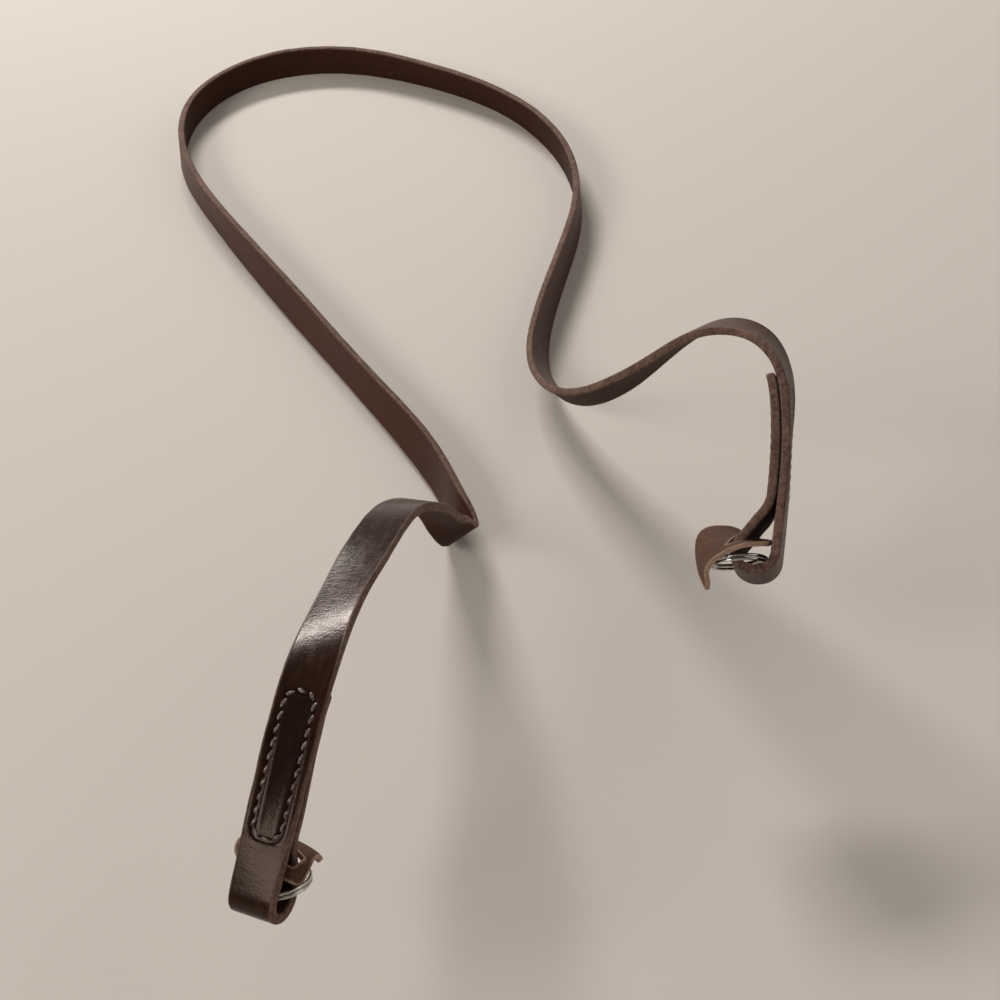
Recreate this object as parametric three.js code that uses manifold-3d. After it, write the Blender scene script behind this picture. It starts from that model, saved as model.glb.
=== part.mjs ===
// A long leather camera strap lying in one big open loop. One thick leather strip runs from end to
// end; each end is folded back through a double wound split ring and through the slot of a thin
// leather tab, and stitched down on itself. Millimetres, Z up, the strap's lower edge on the table.
import * as THREE from "three";
import Module from "manifold-3d";

const wasm = await Module();
wasm.setup();

// ---- leather strip
const STRAP_WIDTH = 12.7;
const STRAP_THICK = 2.6;
const EDGE_BEVEL = 0.5;
// the lower edge is pressed flat by this much where it stands on the table
const EDGE_PRESS = 0.12;
// space between the two stitched layers, so they stay one clean strip
const SEAM_GAP = 0.25;
// length of the folded layer, from the end of the run back to its cut end
const TAIL_REACH = 51;

// ---- the lie of the strap
const LOOP_REACH = 200;
const ARCH_RISE = 80;

// across and back are shares of LOOP_REACH, lift (of the lower edge) a share of ARCH_RISE,
// lean is the angle of the strip's width from upright, in degrees
const RUN = [
  // right end, rising away from its ring
  { across: 0.054, back: -0.974, lift: 0.543, lean: -5 },
  { across: 0.123, back: -0.919, lift: 0.667, lean: -4 },
  { across: 0.182, back: -0.866, lift: 0.777, lean: -8 },
  // right arch, twisting over its top and down to the table
  { across: 0.228, back: -0.811, lift: 0.871, lean: -31 },
  { across: 0.245, back: -0.745, lift: 0.925, lean: -62 },
  { across: 0.241, back: -0.670, lift: 0.882, lean: -76 },
  { across: 0.223, back: -0.585, lift: 0.671, lean: -72 },
  { across: 0.202, back: -0.496, lift: 0.385, lean: -55 },
  { across: 0.200, back: -0.385, lift: 0.147, lean: -47 },
  { across: 0.247, back: -0.260, lift: 0.023, lean: -34 },
  // standing on its edge, round the far loop
  { across: 0.359, back: -0.144, lift: 0, lean: -17 },
  { across: 0.514, back: -0.030, lift: 0, lean: -10 },
  { across: 0.661, back: 0.094, lift: 0, lean: -4 },
  { across: 0.765, back: 0.267, lift: 0, lean: 0 },
  { across: 0.797, back: 0.485, lift: 0, lean: -6 },
  { across: 0.748, back: 0.701, lift: 0, lean: -8 },
  { across: 0.652, back: 0.878, lift: 0, lean: 0 },
  { across: 0.497, back: 0.967, lift: 0, lean: 0 },
  { across: 0.321, back: 0.936, lift: 0, lean: 1 },
  { across: 0.195, back: 0.807, lift: 0, lean: -5 },
  // the straighter left run, leaning back more and more
  { across: 0.116, back: 0.578, lift: 0, lean: -5 },
  { across: 0.055, back: 0.240, lift: 0, lean: -19 },
  { across: 0.000, back: -0.100, lift: 0, lean: -19 },
  { across: -0.044, back: -0.327, lift: 0, lean: -23 },
  { across: -0.080, back: -0.422, lift: 0, lean: -30 },
  // tight turn, where the strip folds over and leaves the table
  { across: -0.111, back: -0.473, lift: 0.034, lean: -56 },
  { across: -0.139, back: -0.492, lift: 0.144, lean: -43 },
  { across: -0.162, back: -0.503, lift: 0.258, lean: -67 },
  { across: -0.189, back: -0.517, lift: 0.399, lean: -84 },
  // left arch, smooth side up, coming down to the left ring
  { across: -0.228, back: -0.540, lift: 0.530, lean: -86 },
  { across: -0.293, back: -0.581, lift: 0.683, lean: -83 },
  { across: -0.391, back: -0.651, lift: 0.811, lean: -88 },
  { across: -0.510, back: -0.738, lift: 0.880, lean: -79 },
  { across: -0.621, back: -0.823, lift: 0.912, lean: -96 },
  { across: -0.709, back: -0.883, lift: 0.778, lean: -94 },
  { across: -0.797, back: -0.936, lift: 0.559, lean: -77 },
];

// ---- the eye that each end makes round its ring, as shares of EYE_DEPTH:
// along runs on past the end of the run, inward runs to the rough side of the strip
const EYE_DEPTH = 10;
const EYE = {
  right: [
    { along: 0, inward: 0 },
    { along: 0.36, inward: 0.04 },
    { along: 0.59, inward: 0.23 },
    { along: 0.68, inward: 0.51 },
    { along: 0.63, inward: 0.82 },
    { along: 0.45, inward: 1.04 },
    { along: 0.2, inward: 1.1 },
    { along: -0.06, inward: 1.03 },
    { along: -0.38, inward: 0.83 },
    { along: -0.74, inward: 0.61 },
    { along: -1.06, inward: 0.4 },
  ],
  left: [
    { along: 0, inward: 0 },
    { along: 0.28, inward: 0.1 },
    { along: 0.37, inward: 0.36 },
    { along: 0.24, inward: 0.63 },
    { along: -0.1, inward: 0.79 },
    { along: -0.5, inward: 0.75 },
    { along: -0.9, inward: 0.55 },
    { along: -1.2, inward: 0.38 },
  ],
};
// where the two layers meet and the stitching starts, as a share of EYE_DEPTH
const EYE_ROOT = -1.5;

// ---- double wound split rings
const RING_OUTER = 16.5;
const RING_WIRE = 0.95;
const RING_SPLIT = 0.12;
const RING_TURNS = 1.94;
// where the middle of each ring hangs, in shares of EYE_DEPTH, and the way the ring faces,
// both given along, inward and up the width of the strip
const RING_SEAT = {
  right: { middle: [0.37, 1.04, 0.01], faces: [-0.976, 0.204, 0.08] },
  left: { middle: [-0.37, 0.95, -0.04], faces: [0.89, 0.43, 0.14] },
};

// ---- thin leather tabs, as long as the ring that they cover and a little more,
// in shares of TAB_SPAN: the near and the far edge of each row and the point that it bends toward,
// from the bar inside the eye to the tab's other end
const TAB_PAST_RING = 3.5;
const TAB_SPAN = RING_OUTER + TAB_PAST_RING;
const TAB_THICK = 1.3;
const TAB_SLOT_ROOM = 0.5;
const TAB_ROWS = {
  right: [
    { near: [-0.03, 0.1, 0.26], bend: [-0.115, 0.105, 0.015], far: [-0.2, 0.11, -0.23] },
    { near: [0.01, 0.14, 0.41], bend: [-0.12, 0.17, 0.02], far: [-0.25, 0.2, -0.37] },
    { near: [0.05, 0.25, 0.49], bend: [-0.11, 0.295, 0.04], far: [-0.27, 0.34, -0.41] },
    { near: [0.08, 0.37, 0.52], bend: [-0.11, 0.42, 0.06], far: [-0.3, 0.47, -0.4] },
    { near: [0.125, 0.495, 0.515], bend: [-0.128, 0.573, 0.078], far: [-0.38, 0.65, -0.36] },
    { near: [0.19, 0.6, 0.52], bend: [-0.1, 0.72, 0.09], far: [-0.39, 0.84, -0.34] },
    { near: [0.275, 0.72, 0.51], bend: [-0.032, 0.88, 0.1], far: [-0.34, 1.04, -0.31] },
    { near: [0.365, 0.82, 0.47], bend: [0.062, 0.975, 0.09], far: [-0.24, 1.13, -0.29] },
    { near: [0.47, 0.88, 0.37], bend: [0.195, 1.015, 0.05], far: [-0.08, 1.15, -0.27] },
    { near: [0.56, 0.87, 0.225], bend: [0.355, 0.99, -0.002], far: [0.15, 1.11, -0.23] },
    { near: [0.64, 0.885, 0.075], bend: [0.505, 0.963, -0.037], far: [0.37, 1.04, -0.15] },
  ],
  left: [
    { near: [-0.28, 0.123, 0.26], bend: [-0.37, 0.12, 0.1], far: [-0.36, 0.11, -0.42] },
    { near: [-0.25, 0.175, 0.39], bend: [-0.5, 0.165, 0.3], far: [-0.46, 0.15, -0.5] },
    { near: [-0.26, 0.245, 0.42], bend: [-0.63, 0.24, 0.4], far: [-0.56, 0.24, -0.52] },
    { near: [-0.32, 0.3, 0.42], bend: [-0.68, 0.34, 0.4], far: [-0.62, 0.37, -0.5] },
    { near: [-0.39, 0.36, 0.4], bend: [-0.69, 0.44, 0.38], far: [-0.64, 0.5, -0.46] },
    { near: [-0.46, 0.43, 0.39], bend: [-0.68, 0.54, 0.34], far: [-0.64, 0.6, -0.4] },
    { near: [-0.52, 0.505, 0.375], bend: [-0.66, 0.63, 0.28], far: [-0.64, 0.68, -0.3] },
    { near: [-0.55, 0.635, 0.35], bend: [-0.61, 0.73, 0.22], far: [-0.62, 0.76, -0.14] },
    { near: [-0.53, 0.76, 0.31], bend: [-0.56, 0.81, 0.2], far: [-0.57, 0.82, 0.02] },
    { near: [-0.485, 0.85, 0.27], bend: [-0.495, 0.86, 0.21], far: [-0.51, 0.86, 0.15] },
  ],
};

// ---- how finely round things are cut
const BEND_STEP = 10;
const LONGEST_STEP = 8;
const RING_STEPS = 34;
const RING_SIDES = 8;
const TAB_STEPS = 16;
const TAB_STRIPS = 8;

const vec = (x, y, z) => new THREE.Vector3(x, y, z);
const mix = (a, b, t) => a.clone().multiplyScalar(1 - t).addScaledVector(b, t);
const radians = THREE.MathUtils.degToRad;

// second slopes of a smooth line through the values, slack at both ends
function slopes(at, value) {
  const n = at.length;
  const second = new Array(n).fill(0);
  const carry = new Array(n).fill(0);
  for (let i = 1; i < n - 1; i += 1) {
    const reach = at[i + 1] - at[i - 1];
    const share = (at[i] - at[i - 1]) / reach;
    const pivot = share * second[i - 1] + 2;
    const after = (value[i + 1] - value[i]) / (at[i + 1] - at[i]);
    const before = (value[i] - value[i - 1]) / (at[i] - at[i - 1]);
    second[i] = (share - 1) / pivot;
    carry[i] = ((6 * (after - before)) / reach - share * carry[i - 1]) / pivot;
  }
  second[n - 1] = 0;
  for (let i = n - 2; i >= 0; i -= 1) {
    second[i] = second[i] * second[i + 1] + carry[i];
  }
  return second;
}

// a smooth line through rows of numbers, spaced by the distance between their first `width` columns
function smoothLine(rows, width) {
  const at = [0];
  for (let i = 1; i < rows.length; i += 1) {
    let sum = 0;
    for (let k = 0; k < width; k += 1) {
      sum += (rows[i][k] - rows[i - 1][k]) ** 2;
    }
    at.push(at[i - 1] + Math.sqrt(sum));
  }
  const columns = rows[0].map((_, k) => rows.map((row) => row[k]));
  const second = columns.map((column) => slopes(at, column));
  const read = (s) => {
    let i = 0;
    while (i < at.length - 2 && s > at[i + 1]) {
      i += 1;
    }
    const h = at[i + 1] - at[i];
    const a = (at[i + 1] - s) / h;
    const b = 1 - a;
    return columns.map((column, k) => {
      const bow = (a ** 3 - a) * second[k][i] + (b ** 3 - b) * second[k][i + 1];
      return a * column[i] + b * column[i + 1] + (bow * h * h) / 6;
    });
  };
  return { length: at[at.length - 1], read };
}

function tangents(points) {
  const last = points.length - 1;
  return points.map((_, i) => {
    const a = points[Math.max(i - 1, 0)];
    const b = points[Math.min(i + 1, last)];
    return b.clone().sub(a).normalize();
  });
}

// the run of the strap as closely spaced places, each with its forward, width and smooth-side directions
function layRun() {
  const half = STRAP_WIDTH / 2;
  const rows = RUN.map((row) => [
    row.across * LOOP_REACH,
    row.back * LOOP_REACH,
    row.lift * ARCH_RISE + half * Math.cos(radians(row.lean)),
    row.lift * ARCH_RISE,
    row.lean,
  ]);
  const line = smoothLine(rows, 3);
  const count = Math.round(line.length);
  const reads = [];
  for (let i = 0; i <= count; i += 1) {
    reads.push(line.read((line.length * i) / count));
  }
  const points = reads.map((r) => vec(r[0], r[1], Math.max(r[3], 0) + half * Math.cos(radians(r[4]))));
  let places = [];
  for (let pass = 0; pass < 3; pass += 1) {
    const forward = tangents(points);
    places = points.map((p, i) => {
      const t = forward[i];
      const up = vec(0, 0, 1).addScaledVector(t, -t.z).normalize();
      const side = t.clone().cross(up);
      const lean = radians(reads[i][4]);
      const w = up.multiplyScalar(Math.cos(lean)).addScaledVector(side, Math.sin(lean));
      const n = t.clone().cross(w);
      return { p, t, w, n };
    });
    places.forEach((place, i) => {
      const foot = Math.max(reads[i][3], 0) - EDGE_PRESS;
      points[i].z = foot + (STRAP_THICK / 2) * Math.abs(place.n.z) + half * place.w.z;
    });
  }
  return places;
}

// the place a given length in from one end of the run, or straight on past that end
function fromEnd(places, end, inset) {
  const last = places.length - 1;
  const step = Math.min(Math.max(inset, 0), last);
  const i = Math.min(Math.floor(step), last - 1);
  const a = places[end === "right" ? i : last - i];
  const b = places[end === "right" ? i + 1 : last - i - 1];
  const k = step - i;
  const out = end === "right" ? -1 : 1;
  const t = mix(a.t, b.t, k).normalize().multiplyScalar(out);
  const w = mix(a.w, b.w, k).normalize();
  const n = mix(a.n, b.n, k).normalize();
  const p = mix(a.p, b.p, k).addScaledVector(t, Math.max(-inset, 0));
  return { p, t, w, n };
}

// a point given by its own measures past the end, toward the rough side and along the width
function atEnd(places, end, along, inward, rise) {
  const f = fromEnd(places, end, 0);
  return f.p.addScaledVector(f.t, along).addScaledVector(f.n, -inward).addScaledVector(f.w, rise);
}

// the folded part of one end: round the eye and back along the rough side to the cut end
function layFold(places, end) {
  const rows = EYE[end].map((row) => [row.along * EYE_DEPTH, row.inward * EYE_DEPTH]);
  const seam = STRAP_THICK + SEAM_GAP;
  for (let along = EYE_ROOT * EYE_DEPTH; along > -TAIL_REACH; along -= LONGEST_STEP / 2) {
    rows.push([along, seam]);
  }
  rows.push([-TAIL_REACH, seam]);
  const line = smoothLine(rows, 2);
  const count = Math.round(line.length * 2);
  const fold = [];
  for (let i = 0; i <= count; i += 1) {
    const [along, inward] = line.read((line.length * i) / count);
    const f = fromEnd(places, end, -along);
    const p = f.p.addScaledVector(f.n, -Math.max(inward, along < EYE_ROOT * EYE_DEPTH ? seam : 0));
    fold.push({ p, w: f.w, along });
  }
  const forward = tangents(fold.map((f) => f.p));
  return fold.map((f, i) => {
    const t = forward[i];
    const w = f.w.clone().addScaledVector(t, -f.w.dot(t)).normalize();
    return { p: f.p, t, w, along: f.along };
  });
}

// keep only as many places as the bends need
function thin(places) {
  const kept = [places[0]];
  let last = places[0];
  for (let i = 1; i < places.length; i += 1) {
    const turn = Math.max(places[i].t.angleTo(last.t), places[i].w.angleTo(last.w));
    const far = places[i].p.distanceTo(last.p);
    const end = i === places.length - 1;
    if (end || turn > radians(BEND_STEP) || far > LONGEST_STEP) {
      if (end && far < 1) {
        kept.pop();
      }
      kept.push(places[i]);
      last = places[i];
    }
  }
  return kept;
}

// the strip's cut: a flat bar with bevelled long edges, given across its width and its thickness
function stripCut(width, thick, bevel) {
  const w = width / 2;
  const t = thick / 2;
  return [
    [w, t - bevel],
    [w - bevel, t],
    [bevel - w, t],
    [-w, t - bevel],
    [-w, bevel - t],
    [bevel - w, -t],
    [w - bevel, -t],
    [w, bevel - t],
  ];
}

function roundCut(diameter, sides) {
  const cut = [];
  for (let k = 0; k < sides; k += 1) {
    const turn = (2 * Math.PI * k) / sides;
    cut.push([(Math.cos(turn) * diameter) / 2, (Math.sin(turn) * diameter) / 2]);
  }
  return cut;
}

function volumeOf(points, faces) {
  let sum = 0;
  for (const [a, b, c] of faces) {
    sum += points[a].dot(points[b].clone().cross(points[c]));
  }
  return sum / 6;
}

function solid(points, faces) {
  const outward = volumeOf(points, faces) > 0;
  const order = outward ? faces : faces.map(([a, b, c]) => [a, c, b]);
  const geometry = new THREE.BufferGeometry();
  geometry.setAttribute("position", new THREE.Float32BufferAttribute(points.flatMap((p) => p.toArray()), 3));
  geometry.setIndex(order.flat());
  return geometry;
}

// carry a cut along places that each have a forward and a width direction, and close both ends
function sweep(places, cut, floor) {
  const points = [];
  const faces = [];
  const n = cut.length;
  for (const place of places) {
    const side = place.t.clone().cross(place.w);
    for (const [u, v] of cut) {
      const p = place.p.clone().addScaledVector(place.w, u).addScaledVector(side, v);
      if (floor !== undefined) {
        p.z = Math.max(p.z, floor);
      }
      points.push(p);
    }
  }
  for (let i = 0; i < places.length - 1; i += 1) {
    for (let k = 0; k < n; k += 1) {
      const a = i * n + k;
      const b = i * n + ((k + 1) % n);
      faces.push([a, b, b + n], [a, b + n, a + n]);
    }
  }
  const end = (places.length - 1) * n;
  for (let k = 1; k < n - 1; k += 1) {
    faces.push([0, k + 1, k], [end, end + k, end + k + 1]);
  }
  return solid(points, faces);
}

function makeStrap(run, folds) {
  const right = folds.right.slice(1).reverse().map((f) => ({ p: f.p, t: f.t.clone().negate(), w: f.w }));
  const chain = [...thin(right), ...thin(run), ...thin(folds.left.slice(1))];
  return sweep(chain, stripCut(STRAP_WIDTH, STRAP_THICK, EDGE_BEVEL), 0);
}

// a flat coil of nearly two turns, hanging in the eye with its split toward the rough side
function makeRing(run, end) {
  const seat = RING_SEAT[end];
  const middle = seat.middle.map((share) => share * EYE_DEPTH);
  const axis = vec(...seat.faces).normalize();
  const start = vec(0, -1, 0).addScaledVector(axis, axis.y).normalize();
  const across = axis.clone().cross(start);
  const radius = (RING_OUTER - RING_WIRE) / 2;
  const pitch = RING_WIRE + RING_SPLIT;
  const steps = Math.round(RING_STEPS * RING_TURNS);
  const points = [];
  for (let i = 0; i <= steps; i += 1) {
    const turns = (RING_TURNS * i) / steps;
    const angle = 2 * Math.PI * turns;
    const p = vec(...middle).addScaledVector(start, radius * Math.cos(angle));
    p.addScaledVector(across, radius * Math.sin(angle));
    p.addScaledVector(axis, (turns - RING_TURNS / 2) * pitch);
    points.push(atEnd(run, end, p.x, p.y, p.z));
  }
  const centre = atEnd(run, end, ...middle);
  const forward = tangents(points);
  const places = points.map((p, i) => {
    const t = forward[i];
    const w = p.clone().sub(centre);
    return { p, t, w: w.addScaledVector(t, -w.dot(t)).normalize() };
  });
  return sweep(places, roundCut(RING_WIRE, RING_SIDES));
}

function toManifold(geometry) {
  return new wasm.Manifold(
    new wasm.Mesh({
      numProp: 3,
      vertProperties: Float32Array.from(geometry.getAttribute("position").array),
      triVerts: Uint32Array.from(geometry.getIndex().array),
    }),
  );
}

function fromManifold(shape) {
  const mesh = shape.getMesh();
  const geometry = new THREE.BufferGeometry();
  const points = [];
  for (let i = 0; i < mesh.vertProperties.length; i += mesh.numProp) {
    points.push(...mesh.vertProperties.slice(i, i + 3));
  }
  geometry.setAttribute("position", new THREE.Float32BufferAttribute(points, 3));
  geometry.setIndex(Array.from(mesh.triVerts));
  return geometry;
}

// a curved leather plate between its near and far edges, slotted where the folded layer passes through it
function makeTab(run, fold, end) {
  const shares = TAB_ROWS[end].map((row) => [...row.near, ...row.bend, ...row.far]);
  const rows = shares.map((row) => row.map((share) => share * TAB_SPAN));
  const line = smoothLine(rows, 9);
  const grid = [];
  for (let i = 0; i <= TAB_STEPS; i += 1) {
    const r = line.read((line.length * i) / TAB_STEPS);
    const near = atEnd(run, end, r[0], r[1], r[2]);
    const bend = atEnd(run, end, r[3], r[4], r[5]);
    const far = atEnd(run, end, r[6], r[7], r[8]);
    const strip = [];
    for (let k = 0; k <= TAB_STRIPS; k += 1) {
      const part = k / TAB_STRIPS;
      strip.push(mix(mix(near, bend, part), mix(bend, far, part), part));
    }
    grid.push(strip);
  }
  const points = [];
  for (const side of [1, -1]) {
    for (let i = 0; i <= TAB_STEPS; i += 1) {
      for (let k = 0; k <= TAB_STRIPS; k += 1) {
        const along = grid[Math.min(i + 1, TAB_STEPS)][k].clone().sub(grid[Math.max(i - 1, 0)][k]);
        const across = grid[i][Math.min(k + 1, TAB_STRIPS)].clone().sub(grid[i][Math.max(k - 1, 0)]);
        const normal = along.cross(across).normalize();
        points.push(grid[i][k].clone().addScaledVector(normal, (side * TAB_THICK) / 2));
      }
    }
  }
  const wide = TAB_STRIPS + 1;
  const back = wide * (TAB_STEPS + 1);
  const faces = [];
  const quad = (a, b, c, d) => faces.push([a, b, c], [a, c, d]);
  for (let i = 0; i < TAB_STEPS; i += 1) {
    for (let k = 0; k < TAB_STRIPS; k += 1) {
      const a = i * wide + k;
      quad(a, a + wide, a + wide + 1, a + 1);
      quad(back + a, back + a + 1, back + a + wide + 1, back + a + wide);
    }
  }
  for (let i = 0; i < TAB_STEPS; i += 1) {
    const a = i * wide;
    const b = a + TAB_STRIPS;
    quad(a, back + a, back + a + wide, a + wide);
    quad(b, b + wide, back + b + wide, back + b);
  }
  for (let k = 0; k < TAB_STRIPS; k += 1) {
    const a = k;
    const b = TAB_STEPS * wide + k;
    quad(a, a + 1, back + a + 1, back + a);
    quad(b, back + b, back + b + 1, b + 1);
  }
  const room = 2 * TAB_SLOT_ROOM;
  const leg = fold.filter((f, i) => i > fold.length * 0.12 && f.along > EYE_ROOT * EYE_DEPTH);
  const cut = stripCut(STRAP_WIDTH + room, STRAP_THICK + room, EDGE_BEVEL);
  const slot = sweep(thin(leg), cut);
  return fromManifold(toManifold(solid(points, faces)).subtract(toManifold(slot)));
}

const LEATHER = { color: 0x3b2319, roughness: 0.5, metalness: 0 };
const STEEL = { color: 0xc9c7c2, roughness: 0.22, metalness: 1 };
const TAB_LEATHER = { color: 0x563d2d, roughness: 0.65, metalness: 0 };

const run = layRun();
const folds = { right: layFold(run, "right"), left: layFold(run, "left") };
const pieces = [
  ["strap", makeStrap(run, folds), LEATHER],
  ["ring_right", makeRing(run, "right"), STEEL],
  ["ring_left", makeRing(run, "left"), STEEL],
  ["tab_right", makeTab(run, folds.right, "right"), TAB_LEATHER],
  ["tab_left", makeTab(run, folds.left, "left"), TAB_LEATHER],
];

// the middle of the whole object comes over the origin, the table stays at zero height
const bounds = new THREE.Box3();
for (const [, geometry] of pieces) {
  geometry.computeBoundingBox();
  bounds.union(geometry.boundingBox);
}
const middle = bounds.getCenter(vec(0, 0, 0));

const group = new THREE.Group();
for (const [name, geometry, look] of pieces) {
  geometry.translate(-middle.x, -middle.y, 0);
  geometry.computeVertexNormals();
  const mesh = new THREE.Mesh(geometry, new THREE.MeshStandardMaterial(look));
  mesh.name = name;
  group.add(mesh);
}

export default group;
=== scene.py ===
# %% [markdown]
# # A long leather camera strap
# The real object is one narrow strip of dyed cowhide, about a metre long, cut 12.7 mm wide from
# leather 2.6 mm thick. Both ends are folded back round a double wound split ring and stitched.
# A thin leather tab is threaded on each end, so that the ring can't scratch what it hangs on.
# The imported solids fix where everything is. This lesson dresses them: a finer strip with a smooth
# side, a rough side and cut edges, the stitching, the wire rings and the tabs.

import bmesh
import bpy
import numpy as np
from mathutils import Matrix, Vector


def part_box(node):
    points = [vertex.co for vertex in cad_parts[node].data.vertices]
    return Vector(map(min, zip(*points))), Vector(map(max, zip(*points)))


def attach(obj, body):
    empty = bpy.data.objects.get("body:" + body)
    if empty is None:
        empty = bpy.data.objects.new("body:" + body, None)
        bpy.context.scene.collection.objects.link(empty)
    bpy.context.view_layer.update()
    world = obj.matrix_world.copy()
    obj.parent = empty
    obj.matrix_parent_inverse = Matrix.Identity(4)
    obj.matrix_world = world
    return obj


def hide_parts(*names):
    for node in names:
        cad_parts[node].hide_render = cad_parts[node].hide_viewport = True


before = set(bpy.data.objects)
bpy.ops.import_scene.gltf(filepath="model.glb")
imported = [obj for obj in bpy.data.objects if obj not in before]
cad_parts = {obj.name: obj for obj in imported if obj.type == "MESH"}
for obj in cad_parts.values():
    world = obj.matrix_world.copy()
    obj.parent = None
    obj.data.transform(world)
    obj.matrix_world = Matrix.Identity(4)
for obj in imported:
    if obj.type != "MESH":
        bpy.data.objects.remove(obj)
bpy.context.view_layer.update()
MM = 0.001

# %% [markdown]
# ## The lie of the strap
# A strip of leather bends easily across its flat side and hardly at all in its own plane. Its lie is
# therefore a line with one lean angle along it. The table below gives both at 36 stations, and a
# smooth line through them gives everything between. It is the same table that the solids follow.

# %% The stations of the run
STRAP_WIDTH = 12.7
STRAP_THICK = 2.6
EDGE_PRESS = 0.12
SEAM_GAP = 0.25
TAIL_REACH = 51
LOOP_REACH = 200
ARCH_RISE = 80
# across and back in shares of LOOP_REACH, lift in shares of ARCH_RISE, lean in degrees
RUN = np.array([
    (0.054, -0.974, 0.543, -5), (0.123, -0.919, 0.667, -4), (0.182, -0.866, 0.777, -8),
    (0.228, -0.811, 0.871, -31), (0.245, -0.745, 0.925, -62), (0.241, -0.670, 0.882, -76),
    (0.223, -0.585, 0.671, -72), (0.202, -0.496, 0.385, -55), (0.200, -0.385, 0.147, -47),
    (0.247, -0.260, 0.023, -34), (0.359, -0.144, 0, -17), (0.514, -0.030, 0, -10),
    (0.661, 0.094, 0, -4), (0.765, 0.267, 0, 0), (0.797, 0.485, 0, -6),
    (0.748, 0.701, 0, -8), (0.652, 0.878, 0, 0), (0.497, 0.967, 0, 0),
    (0.321, 0.936, 0, 1), (0.195, 0.807, 0, -5), (0.116, 0.578, 0, -5),
    (0.055, 0.240, 0, -19), (0.000, -0.100, 0, -19), (-0.044, -0.327, 0, -23),
    (-0.080, -0.422, 0, -30), (-0.111, -0.473, 0.034, -56), (-0.139, -0.492, 0.144, -43),
    (-0.162, -0.503, 0.258, -67), (-0.189, -0.517, 0.399, -84), (-0.228, -0.540, 0.530, -86),
    (-0.293, -0.581, 0.683, -83), (-0.391, -0.651, 0.811, -88), (-0.510, -0.738, 0.880, -79),
    (-0.621, -0.823, 0.912, -96), (-0.709, -0.883, 0.778, -94), (-0.797, -0.936, 0.559, -77),
])


# %% A smooth line through stations
def smooth_line(rows, width):
    """A natural cubic line through rows, spaced by the straight distance between their first columns.

    Between two rows each value is a straight mix plus a bow: (a^3 - a) m0 + (b^3 - b) m1, times h^2 / 6,
    where m0 and m1 are second slopes that make the line's bending run on smoothly."""
    at = np.r_[0, np.cumsum(np.linalg.norm(np.diff(rows[:, :width], axis=0), axis=1))]
    h = np.diff(at)
    n = len(at)
    system = np.eye(n)
    right = np.zeros_like(rows, dtype=float)
    inner = np.arange(1, n - 1)
    system[inner, inner - 1] = h[:-1]
    system[inner, inner] = 2 * (h[:-1] + h[1:])
    system[inner, inner + 1] = h[1:]
    rise = np.diff(rows, axis=0) / h[:, None]
    right[1:-1] = 6 * np.diff(rise, axis=0)
    bow = np.linalg.solve(system, right)

    def read(s):
        i = np.clip(np.searchsorted(at, s, side="right") - 1, 0, n - 2)
        step = h[i][:, None]
        a = (at[i + 1] - s)[:, None] / step
        b = 1 - a
        bend = (a**3 - a) * bow[i] + (b**3 - b) * bow[i + 1]
        return a * rows[i] + b * rows[i + 1] + bend * step**2 / 6

    return at[-1], read


def unit(v):
    return v / np.linalg.norm(v, axis=-1, keepdims=True)


def dot(a, b):
    return (a * b).sum(-1, keepdims=True)


def tangents(p):
    """Direction at each point: from the point before to the point after."""
    ahead = np.vstack([p[1:], p[-1:]])
    behind = np.vstack([p[:1], p[:-1]])
    return unit(ahead - behind)


# %% Lay the run
def lay_run():
    """Places a millimetre apart: middle line p, direction t, width direction w, smooth-side normal n.

    w starts as upright as the direction allows and turns about it by the lean. The height of the
    middle is the lift of the lower edge, plus half the width and half the thickness as they stand."""
    half = STRAP_WIDTH / 2
    lean = np.radians(RUN[:, 3])
    lift = RUN[:, 2] * ARCH_RISE
    height = lift + half * np.cos(lean)
    rows = np.column_stack([RUN[:, 0] * LOOP_REACH, RUN[:, 1] * LOOP_REACH, height, lift, RUN[:, 3]])
    length, read = smooth_line(rows, 3)
    r = read(np.linspace(0, length, round(length) + 1))
    foot = np.maximum(r[:, 3], 0)
    turn = np.radians(r[:, 4:5])
    p = np.column_stack([r[:, :2], foot + half * np.cos(turn[:, 0])])
    for _ in range(3):
        t = tangents(p)
        up = unit(np.array([0, 0, 1.0]) - t[:, 2:3] * t)
        w = up * np.cos(turn) + np.cross(t, up) * np.sin(turn)
        n = np.cross(t, w)
        p[:, 2] = foot - EDGE_PRESS + STRAP_THICK / 2 * np.abs(n[:, 2]) + half * w[:, 2]
    return p, t, w, n


run_p, run_t, run_w, run_n = lay_run()
run_length = np.linalg.norm(np.diff(run_p, axis=0), axis=1).sum()
print("run between the folds: %.0f mm" % run_length)

# %% [markdown]
# ## The folded ends
# Past each end of the run the strip turns back on its rough side, makes an open eye for the ring,
# and closes against itself for the stitched part. The eye is a short table of its own, measured
# along the strip's direction and inward, toward the rough side.

# %% The eyes and their local measures
EYE_DEPTH = 10
EYE_ROOT = -1.5
EYE = {
    "right": [(0, 0), (0.36, 0.04), (0.59, 0.23), (0.68, 0.51), (0.63, 0.82), (0.45, 1.04),
              (0.2, 1.1), (-0.06, 1.03), (-0.38, 0.83), (-0.74, 0.61), (-1.06, 0.4)],
    "left": [(0, 0), (0.28, 0.1), (0.37, 0.36), (0.24, 0.63), (-0.1, 0.79), (-0.5, 0.75),
             (-0.9, 0.55), (-1.2, 0.38)],
}


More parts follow.
